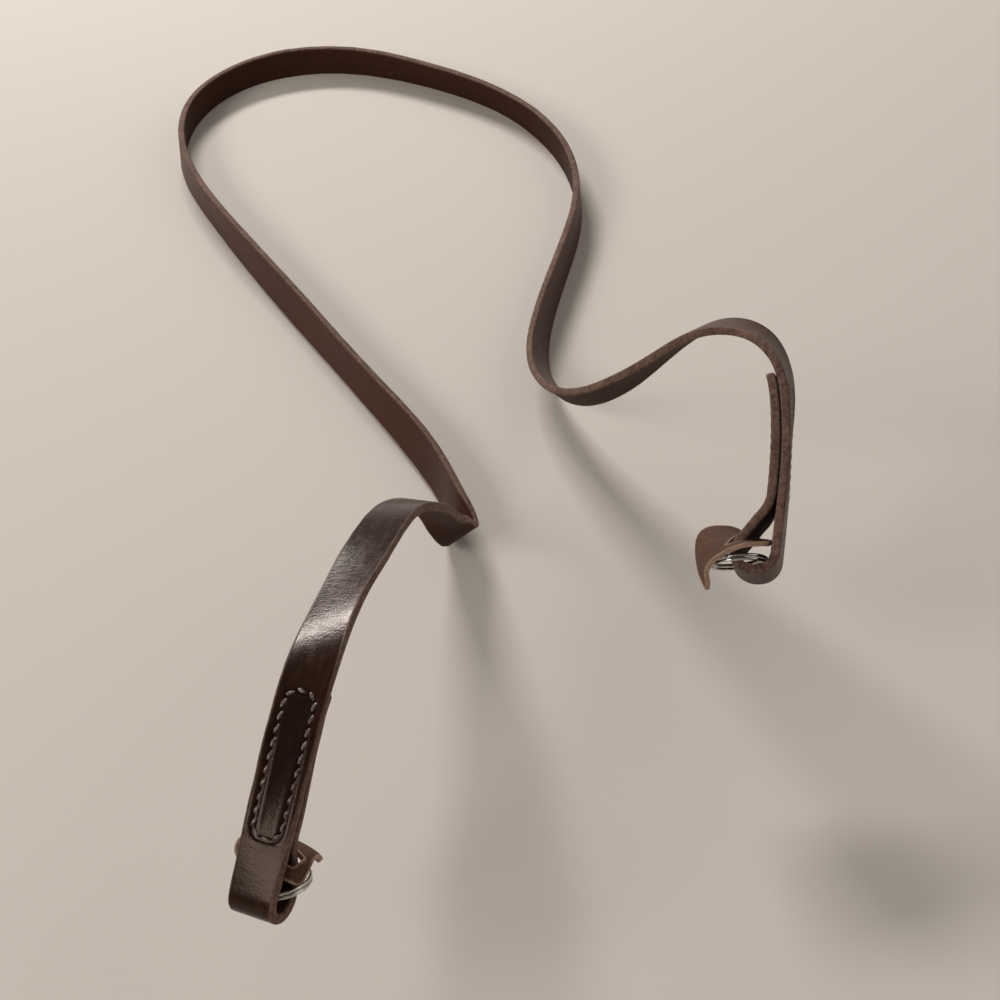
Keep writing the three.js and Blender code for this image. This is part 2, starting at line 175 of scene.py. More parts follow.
def from_end(end, inset):
    """Places a given length in from one end of the run; a negative length runs straight on past it."""
    last = len(run_p) - 1
    step = np.clip(inset, 0, last)
    i = np.minimum(step.astype(int), last - 1)
    k = (step - i)[:, None]
    first, second = (i, i + 1) if end == "right" else (last - i, last - i - 1)
    out = -1 if end == "right" else 1
    p, t, w, n = [a[first] * (1 - k) + a[second] * k for a in (run_p, run_t, run_w, run_n)]
    t = unit(t) * out
    return p + t * np.maximum(-inset, 0)[:, None], t, unit(w), unit(n)


def at_end(end, local):
    """Points given by their own measures past the end, toward the rough side and up the width."""
    p, t, w, n = from_end(end, np.zeros(1))
    local = np.asarray(local, float)
    return p + local[..., 0:1] * t - local[..., 1:2] * n + local[..., 2:3] * w


def lay_fold(end):
    """The folded layer, half a millimetre apart: round the eye, then back along the rough side."""
    seam = STRAP_THICK + SEAM_GAP
    root = EYE_ROOT * EYE_DEPTH
    tail = np.r_[np.arange(root, -TAIL_REACH, -4.0), -TAIL_REACH]
    rows = np.vstack([np.array(EYE[end]) * EYE_DEPTH, np.column_stack([tail, np.full(len(tail), seam)])])
    length, read = smooth_line(rows, 2)
    along, inward = read(np.linspace(0, length, round(length * 2) + 1)).T
    inward = np.maximum(inward, np.where(along < root, seam, 0))
    p, _, w, n = from_end(end, -along)
    p = p - n * inward[:, None]
    t = tangents(p)
    return p, t, unit(w - dot(w, t) * t), along


folds = {end: lay_fold(end) for end in ("right", "left")}
print("folded layers: %s mm" % [round(len(f[0]) / 2) for f in folds.values()])

# %% One chain from cut end to cut end
right_p, right_t, right_w, _ = folds["right"]
left_p, left_t, left_w, _ = folds["left"]
chain_p = np.vstack([right_p[:0:-1], run_p, left_p[1:]])
chain_t = np.vstack([-right_t[:0:-1], run_t, left_t[1:]])
chain_w = np.vstack([right_w[:0:-1], run_w, left_w[1:]])
chain_s = np.r_[0, np.cumsum(np.linalg.norm(np.diff(chain_p, axis=0), axis=1))]
RUN_START = chain_s[len(right_p) - 1]
RUN_END = chain_s[len(right_p) - 1 + len(run_p) - 1]
print("strip from cut end to cut end: %.0f mm" % chain_s[-1])

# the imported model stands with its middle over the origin, so its strap box gives the shift
low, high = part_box("strap")
half_side = np.cross(chain_t, chain_w) * STRAP_THICK / 2
half_wide = chain_w * STRAP_WIDTH / 2
corners = np.vstack([chain_p + a * half_wide + b * half_side for a in (1, -1) for b in (1, -1)])
own_middle = (corners.min(0) + corners.max(0)) / 2
packed_middle = (np.array(low[:]) + np.array(high[:])) / 2 / MM
SHIFT = np.array([packed_middle[0] - own_middle[0], packed_middle[1] - own_middle[1], 0])
print("shift onto the packed model, mm:", SHIFT.round(2))

# %% [markdown]
# ## Camera
# The strap is seen from above the table at about 43 degrees, from the two ring ends. The distance and
# the lens came out of the picture's own perspective.

# %% Camera, floor and lights
LENS_MM = 61.1
PITCH, AROUND, ROLL = np.radians([43.44, -38.49, -3.24])
AIM = np.array([75.96 - 75, 88.79 - 175, 0]) + SHIFT
DISTANCE = 557.1
back = np.array([np.sin(AROUND) * np.cos(PITCH), -np.cos(AROUND) * np.cos(PITCH), np.sin(PITCH)])
level = np.array([np.cos(AROUND), np.sin(AROUND), 0])
upward = np.cross(back, level)
cam_right = np.cos(ROLL) * level + np.sin(ROLL) * upward
cam_up = -np.sin(ROLL) * level + np.cos(ROLL) * upward
eye = (AIM + back * DISTANCE) * MM

camera_data = bpy.data.cameras.new("camera")
camera_data.lens = LENS_MM
camera_data.sensor_width = 36
camera_data.clip_start = 0.01
camera = bpy.data.objects.new("camera", camera_data)
turn = np.eye(4)
turn[:3, :3] = np.column_stack([cam_right, cam_up, back])
turn[:3, 3] = eye
camera.matrix_world = Matrix(turn.tolist())
bpy.context.scene.collection.objects.link(camera)
bpy.context.scene.camera = camera
print("camera at", eye.round(3))


# %% Colours and nodes
def srgb(code):
    """Turns an sRGB hex colour into the linear values that shaders use."""
    c = np.array([int(code[i:i + 2], 16) for i in (1, 3, 5)]) / 255
    c = np.where(c <= 0.04045, c / 12.92, ((c + 0.055) / 1.055) ** 2.4)
    return (*c, 1.0)


def add(tree, kind, links=None, **settings):
    """Adds one node. Plain settings go on the node, names with a capital are its inputs."""
    node = tree.nodes.new(kind)
    ramp = settings.pop("ramp", None)
    for name, value in settings.items():
        setattr(node, name, value)
    for key, value in (links or {}).items():
        socket = node.inputs[key]
        if isinstance(value, bpy.types.NodeSocket):
            tree.links.new(value, socket)
        else:
            socket.default_value = value
    if ramp:
        elements = node.color_ramp.elements
        while len(elements) < len(ramp):
            elements.new(0.5)
        for element, (position, colour) in zip(elements, ramp):
            element.position = position
            element.color = colour
    return node


def new_material(name):
    material = bpy.data.materials.new(name)
    material.use_nodes = True
    tree = material.node_tree
    tree.nodes.clear()
    shader = add(tree, "ShaderNodeBsdfPrincipled")
    output = add(tree, "ShaderNodeOutputMaterial")
    tree.links.new(shader.outputs[0], output.inputs[0])
    return material, tree, shader


def maths(tree, operation, a, b=0.0, c=0.0):
    return add(tree, "ShaderNodeMath", {0: a, 1: b, 2: c}, operation=operation).outputs[0]


def blend(tree, factor, a, b):
    node = add(tree, "ShaderNodeMix", {0: factor, 6: a, 7: b}, data_type="RGBA", blend_type="MIX")
    return node.outputs[2]


def noise(tree, place, size, detail, roughness=0.5):
    """Cloudy values whose patches are about size millimetres across."""
    links = {"Vector": place, "Scale": 1 / (size * MM), "Detail": detail, "Roughness": roughness}
    return add(tree, "ShaderNodeTexNoise", links).outputs[0]


def spread(tree, value, low, high, to_low=0.0, to_high=1.0, kind="LINEAR"):
    """Turns the range low to high into to_low to to_high, and holds the ends."""
    links = {0: value, 1: low, 2: high, 3: to_low, 4: to_high}
    return add(tree, "ShaderNodeMapRange", links, interpolation_type=kind).outputs[0]


def two_tone(tree, value, low, dark, high, light):
    """A colour that runs from dark where the value is low to light where it is high."""
    ramp = [(low, srgb(dark)), (high, srgb(light))]
    return add(tree, "ShaderNodeValToRGB", {0: value}, ramp=ramp).outputs[0]


def relief(tree, shader, height, strength, depth):
    """Lets a height bend the surface's light, up to depth millimetres."""
    links = {"Height": height, "Strength": strength, "Distance": depth * MM}
    tree.links.new(add(tree, "ShaderNodeBump", links).outputs[0], shader.inputs["Normal"])


# %% Floor and lights
def plane(name, corners_m):
    mesh = bpy.data.meshes.new(name)
    mesh.from_pydata(corners_m, [], [(0, 1, 2, 3)])
    obj = bpy.data.objects.new(name, mesh)
    bpy.context.scene.collection.objects.link(obj)
    return obj


floor = plane("floor", [(-4, -4, 0), (4, -4, 0), (4, 4, 0), (-4, 4, 0)])
paper, tree, shader = new_material("pale paper backdrop")
shader.inputs["Base Color"].default_value = srgb("#dacfc3")
shader.inputs["Roughness"].default_value = 0.9
floor.data.materials.append(paper)


def soft_light(name, place, aim, size, power, colour="#ffffff"):
    data = bpy.data.lights.new(name, "AREA")
    data.shape = "RECTANGLE"
    data.size, data.size_y = size
    data.energy = power
    data.color = srgb(colour)[:3]
    obj = bpy.data.objects.new(name, data)
    obj.location = place
    obj.rotation_euler = (Vector(aim) - Vector(place)).to_track_quat("-Z", "Y").to_euler()
    bpy.context.scene.collection.objects.link(obj)


soft_light("back_window", (0.454, 1.039, 0.802), (-0.05, -0.1, 0.05), (0.5, 0.16), 14)
soft_light("left_window", (-1.24, 0.15, 0.88), (0, 0, 0), (0.9, 0.5), 9)
soft_light("front_fill", (1.3, -0.9, 1.1), (0, 0, 0), (1.6, 1.4), 5)
world = bpy.data.worlds.new("studio")
world.use_nodes = True
world.node_tree.nodes["Background"].inputs[0].default_value = srgb("#f2ece6")
world.node_tree.nodes["Background"].inputs[1].default_value = 0.19
bpy.context.scene.world = world
bpy.context.scene.view_settings.view_transform = "Standard"


# %% [markdown]
# ## Meshes from arrays
# Every new piece is a grid of points worked out in one go. The grid may close on itself one way,
# like the skin of the strip, and it carries its own measures along, for the materials to follow.

# %% Build a piece from a grid
def grid_faces(rows, columns, closed):
    """Quads of a grid of points, row after row; closed joins the last column to the first."""
    i, k = np.meshgrid(np.arange(rows - 1), np.arange(columns if closed else columns - 1), indexing="ij")
    a = i * columns + k
    b = i * columns + (k + 1) % columns
    return np.stack([a, b, b + columns, a + columns], -1).reshape(-1, 4)


def make_piece(name, points, faces, uv=None, values=None):
    """Points in millimetres of the run's own frame, faces as an array of quads or a list of index lists."""
    mesh = bpy.data.meshes.new(name)
    mesh.from_pydata(((points + SHIFT) * MM).tolist(), [], [list(map(int, f)) for f in faces])
    if uv is not None:
        loops = np.empty(len(mesh.loops), int)
        mesh.loops.foreach_get("vertex_index", loops)
        layer = mesh.uv_layers.new(name="UVMap")
        layer.data.foreach_set("uv", uv[loops].ravel())
    for key, value in (values or {}).items():
        mesh.attributes.new(key, "FLOAT", "POINT").data.foreach_set("value", value)
    mesh.polygons.foreach_set("use_smooth", np.full(len(mesh.polygons), True))
    mesh.validate()
    obj = bpy.data.objects.new(name, mesh)
    bpy.context.scene.collection.objects.link(obj)
    return obj


def face_out(obj):
    """Turns the faces of a closed piece outwards."""
    b = bmesh.new()
    b.from_mesh(obj.data)
    bmesh.ops.recalc_face_normals(b, faces=b.faces)
    b.to_mesh(obj.data)
    b.free()


# %% [markdown]
# ## The strip
# Cut leather has two flat faces and a narrow edge whose corners are shaved and rubbed round. The
# outline of the cut is therefore a flat bar with round corners. Carried along the chain it gives the
# whole strap in one skin, 0.5 to 1 mm between its rings of points.

# %% Where the stitching runs
STITCH_NEAR = 13.5
STITCH_FAR = 48.5
STITCH_OFF = 3.7
BOX_CORNER = 2.4
MIDDLE_IN = (STITCH_FAR + STITCH_NEAR) / 2
BOX_MIDDLES = [RUN_START + MIDDLE_IN, RUN_END - MIDDLE_IN,
               TAIL_REACH - MIDDLE_IN, chain_s[-1] - TAIL_REACH + MIDDLE_IN]


def stitch_distance(s, across):
    """Millimetres to the stitched line: round each middle, the distance to an inner box less the
    radius of its corners; negative inside. Of the four lengths the nearest counts."""
    away = []
    for middle in BOX_MIDDLES:
        a = np.abs(s - middle) - ((STITCH_FAR - STITCH_NEAR) / 2 - BOX_CORNER)
        b = np.abs(across) - (STITCH_OFF - BOX_CORNER)
        corner = np.hypot(np.maximum(a, 0), np.maximum(b, 0))
        away.append(corner + np.minimum(np.maximum(a, b), 0) - BOX_CORNER)
    return np.min(away, axis=0)


print("each stitched length: %.0f by %.1f mm" % (STITCH_FAR - STITCH_NEAR, 2 * STITCH_OFF))

# %% The cut across the strip
CORNER = 0.62
CUT_END_RUB = 0.3
GROOVE_DEPTH = 0.24
GROOVE_REACH = 0.55
SWELL_HEIGHT = 0.07
SWELL_AWAY = 1.5
SWELL_REACH = 0.6
GRAIN_POINTS = 27
ROUGH_POINTS = 7
CORNER_POINTS = 5


def strip_cut(width, thick, corner):
    """Rounded bar: flats joined by quarter turns. Returns across, through and the distance round."""
    w, t = width / 2 - corner, thick / 2 - corner
    turns = np.linspace(0, np.pi / 2, CORNER_POINTS)
    parts = []
    for quarter, (cx, cy) in enumerate([(w, t), (-w, t), (-w, -t), (w, -t)]):
        angle = turns + quarter * np.pi / 2
        parts.append(np.column_stack([cx + corner * np.cos(angle), cy + corner * np.sin(angle)]))
        if quarter in (0, 2):
            up, count = (1, GRAIN_POINTS) if quarter == 0 else (-1, ROUGH_POINTS)
            x = np.linspace(w, -w, count + 2)[1:-1] * up
            parts.append(np.column_stack([x, np.full(count, thick / 2 * up)]))
    cut = np.vstack(parts)
    around = np.r_[0, np.cumsum(np.linalg.norm(np.diff(cut, axis=0), axis=1))]
    return cut, around


cut, around = strip_cut(STRAP_WIDTH, STRAP_THICK, CORNER)


def slow_noise(length, period, seed):
    """Smooth random values along a length: random knots every period, joined by a cubic."""
    knots = np.random.default_rng(seed).normal(size=int(length[-1] / period) + 4)
    at = np.arange(len(knots)) * period
    i = np.minimum((length / period).astype(int), len(knots) - 2)
    k = length / period - i
    k = k * k * (3 - 2 * k)
    return knots[i] * (1 - k) + knots[i + 1] * k


# a cut strap is never perfectly even: its edges wander by a tenth of a millimetre or so
wander = 0.07 * slow_noise(chain_s, 19, 1) + 0.04 * slow_noise(chain_s, 5, 2)
side = np.cross(chain_t, chain_w)
across = cut[None, :, 0] * (1 + wander[:, None] / 6)
level = np.broadcast_to(cut[None, :, 1], across.shape).copy()
# the thread has pulled a groove into the grain side, and the leather swells a little beside it
off_line = stitch_distance(chain_s[:, None], across)
on_grain = cut[None, :, 1] > STRAP_THICK / 2 - 0.05
pressed_in = GROOVE_DEPTH * np.exp(-(off_line / GROOVE_REACH) ** 2)
swollen = SWELL_HEIGHT * np.exp(-((np.abs(off_line) - SWELL_AWAY) / SWELL_REACH) ** 2)
level -= on_grain * (pressed_in - swollen)
# the knife's corners at the two cut ends are rubbed off
across[[0, -1]] *= 1 - CUT_END_RUB / (STRAP_WIDTH / 2)
level[[0, -1]] *= 1 - CUT_END_RUB / (STRAP_THICK / 2)
skin = chain_p[:, None] + across[..., None] * chain_w[:, None] + level[..., None] * side[:, None]
skin[..., 2] = np.maximum(skin[..., 2], 0.0)
rows, columns = skin.shape[:2]
strip_uv = np.stack(np.broadcast_arrays(chain_s[:, None] * MM, cut[None, :, 0] * MM), -1)
through = np.broadcast_to(cut[None, :, 1] / (STRAP_THICK / 2), (rows, columns))
faces = [list(f) for f in grid_faces(rows, columns, True)]
faces.append(list(range(columns))[::-1])
faces.append(list(range((rows - 1) * columns, rows * columns)))
print("strip skin: %d rings of %d points" % (rows, columns))
strip = make_piece("strap_leather", skin.reshape(-1, 3), faces, strip_uv.reshape(-1, 2),
                   values={"through": through.ravel()})
face_out(strip)
print("strip skin:", len(strip.data.polygons), "faces")

# %% [markdown]
# ## Leather
# Vegetable tanned cowhide, dyed through to a dark chocolate brown. Its grain side is rolled and waxed
# to a half gloss with faint pores and creases; its rough side is matt fibre; its cut edges show the
# paler core. One material holds all three and blends between them by the strip's own measures.

# %% Leather material
PORE_SIZE = 0.6
GLOSS_REACH = 170
DULL_FROM = 260
leather, tree, shader = new_material("veg tanned cowhide, dyed and waxed")
place = add(tree, "ShaderNodeUVMap", uv_map="UVMap").outputs[0]
own = add(tree, "ShaderNodeTexCoord").outputs["Object"]
xyz = add(tree, "ShaderNodeSeparateXYZ", {0: place}).outputs
depth = add(tree, "ShaderNodeAttribute", attribute_name="through").outputs["Fac"]

wide = maths(tree, "ABSOLUTE", xyz[1])
# 0 on the two flat sides, 1 on the cut edge
edge = spread(tree, wide, (STRAP_WIDTH / 2 - 0.75) * MM, (STRAP_WIDTH / 2 - 0.2) * MM)
# 0 on the rough side, 1 on the grain side
grain = spread(tree, depth, 0.25, 0.85)

mottle = noise(tree, own, 22, 4.0, 0.55)
stretch = add(tree, "ShaderNodeMapping", {0: place, 3: (1.0, 5.0, 1.0)}).outputs[0]
streak = noise(tree, stretch, 9, 5.0, 0.6)
pores = {"Vector": own, "Scale": 1 / (PORE_SIZE * MM)}
pores = add(tree, "ShaderNodeTexVoronoi", pores, feature="F1").outputs[0]
fibre = noise(tree, own, 0.9, 6.0, 0.7)
across_strip = add(tree, "ShaderNodeMapping", {0: place, 3: (4.0, 1.0, 1.0)}).outputs[0]
creases = noise(tree, across_strip, 6, 6.0, 0.65)

smooth_colour = two_tone(tree, mottle, 0.3, "#1f0f08", 0.7, "#321a10")
smooth_colour = blend(tree, 0.35, smooth_colour, two_tone(tree, streak, 0.35, "#180c07", 0.7, "#44281b"))
rough_colour = two_tone(tree, fibre, 0.3, "#2a150e", 0.75, "#4a2d20")
edge_colour = two_tone(tree, streak, 0.3, "#432b22", 0.7, "#7a5a4c")
speck = noise(tree, own, 1.3, 5.0, 0.75)
edge_colour = blend(tree, 0.5, edge_colour, two_tone(tree, speck, 0.36, "#38261e", 0.68, "#9c8071"))

# the wax is still bright at the left end, and rubbed dull and redder over the rest of the length
dulled = spread(tree, xyz[0], (RUN_END - GLOSS_REACH) * MM, (RUN_END - DULL_FROM) * MM)
smooth_colour = blend(tree, maths(tree, "MULTIPLY", dulled, 0.25), smooth_colour, srgb("#6b3a25"))

flat_colour = blend(tree, grain, rough_colour, smooth_colour)
colour = blend(tree, edge, flat_colour, edge_colour)


# the thread lies in a sunken groove round a long box; painted shade darkens the groove line and, slightly,
# the leather inside the box
def stitched_box(centre):
    """Millimetres outside a box with round corners round each stitched length: the distance to its
    inner box, less the corner's radius; negative inside."""
    off = maths(tree, "ABSOLUTE", maths(tree, "SUBTRACT", xyz[0], centre * MM))
    a = maths(tree, "SUBTRACT", off, ((STITCH_FAR - STITCH_NEAR) / 2 - BOX_CORNER) * MM)
    b = maths(tree, "SUBTRACT", wide, (STITCH_OFF - BOX_CORNER) * MM)
    past = {0: maths(tree, "MAXIMUM", a, 0.0), 1: maths(tree, "MAXIMUM", b, 0.0)}
    past = add(tree, "ShaderNodeCombineXYZ", past).outputs[0]
    corner = add(tree, "ShaderNodeVectorMath", {0: past}, operation="LENGTH").outputs["Value"]
    inner = maths(tree, "MINIMUM", maths(tree, "MAXIMUM", a, b), 0.0)
    return maths(tree, "SUBTRACT", maths(tree, "ADD", corner, inner), BOX_CORNER * MM)


boxes = [stitched_box(middle) for middle in BOX_MIDDLES]
nearest = boxes[0]
for box in boxes[1:]:
    nearest = maths(tree, "MINIMUM", nearest, box)
# painted shade: the grain side inside each stitched box is darkened a little
inside_box_shade = maths(tree, "MULTIPLY", grain, spread(tree, nearest, 0.6 * MM, -0.6 * MM))
from_line = maths(tree, "ABSOLUTE", nearest)
# painted shade along the stitch line, darkening the groove; the same mask also sinks the groove in the relief
# below
groove_shade_and_dip = maths(tree, "MULTIPLY", grain, spread(tree, from_line, 1.0 * MM, 0.2 * MM, kind="SMOOTHSTEP"))
colour = blend(tree, maths(tree, "MULTIPLY", inside_box_shade, 0.35), colour, srgb("#190f0b"))
colour = blend(tree, maths(tree, "MULTIPLY", groove_shade_and_dip, 0.7), colour, srgb("#0e0806"))
tree.links.new(colour, shader.inputs["Base Color"])

worn = blend(tree, 0.5, streak, creases)
glossy = spread(tree, worn, 0.35, 0.65, 0.16, 0.3)
smooth_rough = maths(tree, "ADD", glossy, maths(tree, "MULTIPLY", dulled, 0.22))
off_grain = maths(tree, "SUBTRACT", 1.0, grain)
off_edge = maths(tree, "SUBTRACT", 1.0, edge)
fibre_rough = maths(tree, "MULTIPLY", off_grain, 0.86)
flat_rough = maths(tree, "ADD", maths(tree, "MULTIPLY", smooth_rough, grain), fibre_rough)
edge_rough = maths(tree, "MULTIPLY", edge, 0.68)
roughness = maths(tree, "ADD", maths(tree, "MULTIPLY", flat_rough, off_edge), edge_rough)
tree.links.new(roughness, shader.inputs["Roughness"])
shader.inputs["IOR"].default_value = 1.45
shader.inputs["Specular IOR Level"].default_value = 0.26
shader.inputs["Specular Tint"].default_value = srgb("#efd2c0")
shader.inputs["Sheen Weight"].default_value = 0.03
shader.inputs["Sheen Roughness"].default_value = 0.5

pore_depth = maths(tree, "MULTIPLY", grain, 0.06)
fine = maths(tree, "ADD", maths(tree, "MULTIPLY", pores, pore_depth), maths(tree, "MULTIPLY", creases, 0.16))
fibre_depth = maths(tree, "ADD", maths(tree, "MULTIPLY", off_grain, 0.35), maths(tree, "MULTIPLY", edge, 0.7))
coarse = maths(tree, "MULTIPLY", fibre, fibre_depth)
height = maths(tree, "SUBTRACT", maths(tree, "ADD", fine, coarse), maths(tree, "MULTIPLY", groove_shade_and_dip, 0.35))
relief(tree, shader, height, 0.55, 0.6)
strip.data.materials.append(leather)
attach(strip, "root")
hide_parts("strap")

# %% [markdown]
# ## Split rings
# A split ring is one spring wire wound nearly twice round, the turns lying against each other. It is
# a coil with a very low pitch, swept with a round cut; its two ends are cut square.

# %% Split rings
RING_OUTER = 16.5
RING_WIRE = 0.95
RING_SPLIT = 0.12
RING_TURNS = 1.94
RING_STEPS = 300
RING_SIDES = 16
WIRE_END = 0.86
RING_SEAT = {
    "right": {"middle": (0.37, 1.04, 0.01), "faces": (-0.976, 0.204, 0.08)},
    "left": {"middle": (-0.37, 0.95, -0.04), "faces": (0.89, 0.43, 0.14)},
}


def ring_line(end, steps):
    """Coil: middle + radius (start cos + across sin) + axis (turns - half) pitch."""
    seat = RING_SEAT[end]
    axis = unit(np.array(seat["faces"]))
    start = np.array([0, -1.0, 0])
    start = unit(start - (start @ axis) * axis)
    beside = np.cross(axis, start)
    turns = np.linspace(0, RING_TURNS, steps)[:, None]
    angle = 2 * np.pi * turns
    radius = (RING_OUTER - RING_WIRE) / 2
    flat = radius * (np.cos(angle) * start + np.sin(angle) * beside)
    middle = np.array(seat["middle"]) * EYE_DEPTH
    local = middle + flat + axis * (turns - RING_TURNS / 2) * (RING_WIRE + RING_SPLIT)
    return at_end(end, local), at_end(end, middle[None])


def tube(line, toward, width, sides, taper):
    """A round cut carried along a line: p + r (cos a radial + sin a side), closed with flat ends."""
    t = tangents(line)
    radial = toward - line
    radial = unit(radial - dot(radial, t) * t)
    beside = np.cross(t, radial)
    angle = np.linspace(0, 2 * np.pi, sides, endpoint=False)[None, :, None]
    r = width / 2 * taper[:, None, None]
    points = line[:, None] + r * (np.cos(angle) * radial[:, None] + np.sin(angle) * beside[:, None])
    faces = [list(f) for f in grid_faces(len(line), sides, True)]
    faces.append(list(range(sides))[::-1])
    faces.append(list(range((len(line) - 1) * sides, len(line) * sides)))
    return points.reshape(-1, 3), faces


steel, tree, shader = new_material("nickel plated spring steel wire")
own = add(tree, "ShaderNodeTexCoord").outputs["Object"]
scuff = noise(tree, own, 1.6, 5.0)
tree.links.new(two_tone(tree, scuff, 0.35, "#b9b4ac", 0.65, "#dedbd5"), shader.inputs["Base Color"])
tree.links.new(spread(tree, scuff, 0.3, 0.7, 0.12, 0.28), shader.inputs["Roughness"])
shader.inputs["Metallic"].default_value = 1.0
relief(tree, shader, scuff, 0.08, 0.05)
for end in ("right", "left"):
    line, middle = ring_line(end, RING_STEPS)
    taper = np.ones(RING_STEPS)
    taper[[0, -1]] = WIRE_END
    points, faces = tube(line, middle, RING_WIRE, RING_SIDES, taper)
    ring = make_piece("split_ring_" + end, points, faces)
    face_out(ring)
    ring.data.materials.append(steel)
    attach(ring, "root")
    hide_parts("ring_" + end)
print("rings: 2 of %.1f mm across" % RING_OUTER)

# %% [markdown]
# ## Tabs
# Each tab is a piece of thin leather with a slot, pushed over the folded layer so that its bar lies
# inside the eye and its flap covers the ring. It is a curved plate: each line across it runs from the
# near edge to the far edge and bows toward a bend line between them. The slot is found where the
# folded layer passes through the plate's thickness, and is left out of it.

# %% Tab plates
TAB_PAST_RING = 3.5
TAB_SPAN = RING_OUTER + TAB_PAST_RING
TAB_THICK = 1.3
SLOT_ROOM = 0.3
TAB_STEPS = (0.018, 0.022)
TAB_ROWS = {
    "right": [(-0.03, 0.1, 0.26, -0.115, 0.105, 0.015, -0.2, 0.11, -0.23),
              (0.01, 0.14, 0.41, -0.12, 0.17, 0.02, -0.25, 0.2, -0.37),
              (0.05, 0.25, 0.49, -0.11, 0.295, 0.04, -0.27, 0.34, -0.41),
              (0.08, 0.37, 0.52, -0.11, 0.42, 0.06, -0.3, 0.47, -0.4),
              (0.125, 0.495, 0.515, -0.128, 0.573, 0.078, -0.38, 0.65, -0.36),
              (0.19, 0.6, 0.52, -0.1, 0.72, 0.09, -0.39, 0.84, -0.34),
              (0.275, 0.72, 0.51, -0.032, 0.88, 0.1, -0.34, 1.04, -0.31),
              (0.365, 0.82, 0.47, 0.062, 0.975, 0.09, -0.24, 1.13, -0.29),
              (0.47, 0.88, 0.37, 0.195, 1.015, 0.05, -0.08, 1.15, -0.27),
              (0.56, 0.87, 0.225, 0.355, 0.99, -0.002, 0.15, 1.11, -0.23),
              (0.64, 0.885, 0.075, 0.505, 0.963, -0.037, 0.37, 1.04, -0.15)],
    "left": [(-0.28, 0.123, 0.26, -0.37, 0.12, 0.1, -0.36, 0.11, -0.42),
              (-0.25, 0.175, 0.39, -0.5, 0.165, 0.3, -0.46, 0.15, -0.5),
              (-0.26, 0.245, 0.42, -0.63, 0.24, 0.4, -0.56, 0.24, -0.52),
              (-0.32, 0.3, 0.42, -0.68, 0.34, 0.4, -0.62, 0.37, -0.5),
              (-0.39, 0.36, 0.4, -0.69, 0.44, 0.38, -0.64, 0.5, -0.46),
              (-0.46, 0.43, 0.39, -0.68, 0.54, 0.34, -0.64, 0.6, -0.4),
              (-0.52, 0.505, 0.375, -0.66, 0.63, 0.28, -0.64, 0.68, -0.3),
              (-0.55, 0.635, 0.35, -0.61, 0.73, 0.22, -0.62, 0.76, -0.14),
              (-0.53, 0.76, 0.31, -0.56, 0.81, 0.2, -0.57, 0.82, 0.02),
              (-0.485, 0.85, 0.27, -0.495, 0.86, 0.21, -0.51, 0.86, 0.15)],
}


def tab_surface(end):
    """S(u, v) = (1-v)^2 near + 2v(1-v) bend + v^2 far, where near, bend and far are three smooth lines
    through the rows, all read at u times the length."""
    length, read = smooth_line(np.array(TAB_ROWS[end]) * TAB_SPAN, 9)

    def surface(u, v):
        r = read(u.ravel() * length)
        k = v.ravel()[:, None]
        local = r[:, :3] * (1 - k) ** 2 + r[:, 3:6] * 2 * k * (1 - k) + r[:, 6:] * k ** 2
        return at_end(end, local).reshape(*u.shape, 3)

    return length, surface


def find_slot(end, surface):
    """The part of the plate that meets the folded layer's own cut, widened by the slot's room, at either
    face or at the middle of its thickness: its reach in v, and the two long sides as curves u(v)."""
    u, v = np.meshgrid(np.linspace(0, 1, 161), np.linspace(0, 1, 121), indexing="ij")
    middle = surface(u, v)
    outward = unit(np.cross(np.gradient(middle, axis=0), np.gradient(middle, axis=1)))
    p, t, w, along = folds[end]
    leg = (along > EYE_ROOT * EYE_DEPTH) & (np.arange(len(p)) > 12)
    p, t, w = p[leg], t[leg], w[leg]
    inside = np.zeros(u.shape, bool)
    for lift in (-TAB_THICK / 2, 0, TAB_THICK / 2):
        s = (middle + lift * outward).reshape(-1, 3)
        nearest = np.argmin(((s[:, None] - p[None]) ** 2).sum(-1), axis=1)
        gap = s - p[nearest]
        thick = np.abs((gap * np.cross(t, w)[nearest]).sum(-1))
        wide = np.abs((gap * w[nearest]).sum(-1))
        met = (thick < STRAP_THICK / 2 + SLOT_ROOM) & (wide < STRAP_WIDTH / 2 + SLOT_ROOM)
        inside |= met.reshape(u.shape)
    hit = inside.any(0)
    rows_v = v[0][hit]
    first = u[:, 0][inside.argmax(0)][hit]
    last = u[:, 0][len(u) - 1 - inside[::-1].argmax(0)][hit]
    borders = []
    for reached, out in ((first, -1), (last, 1)):
        curve = np.polyfit(rows_v, reached, 2)
        # moved out until no part that is met lies past the curve
        curve[-1] += out * max(0, (out * (reached - np.polyval(curve, rows_v))).max())
        borders.append(curve)
    return rows_v.min(), rows_v.max(), *borders


def stepped(start, stop, low, high, step):
    """Grid lines from start to stop that run exactly through low and high."""
    parts = []
    for a, b in ((start, low), (low, high), (high, stop)):
        parts.append(np.linspace(a, b, max(2, int(np.ceil((b - a) / step)) + 1)))
    return np.unique(np.round(np.concatenate(parts), 6))


tab_leather, tree, shader = new_material("thin split cowhide, dyed, worn rims with painted highlight")
own = add(tree, "ShaderNodeTexCoord").outputs["Object"]
cloud = noise(tree, own, 7, 5.0, 0.6)
nap = noise(tree, own, 0.7, 5.0, 0.7)
face = two_tone(tree, cloud, 0.3, "#40261a", 0.7, "#63402c")
face = blend(tree, 0.5, face, two_tone(tree, nap, 0.35, "#301c12", 0.7, "#775540"))
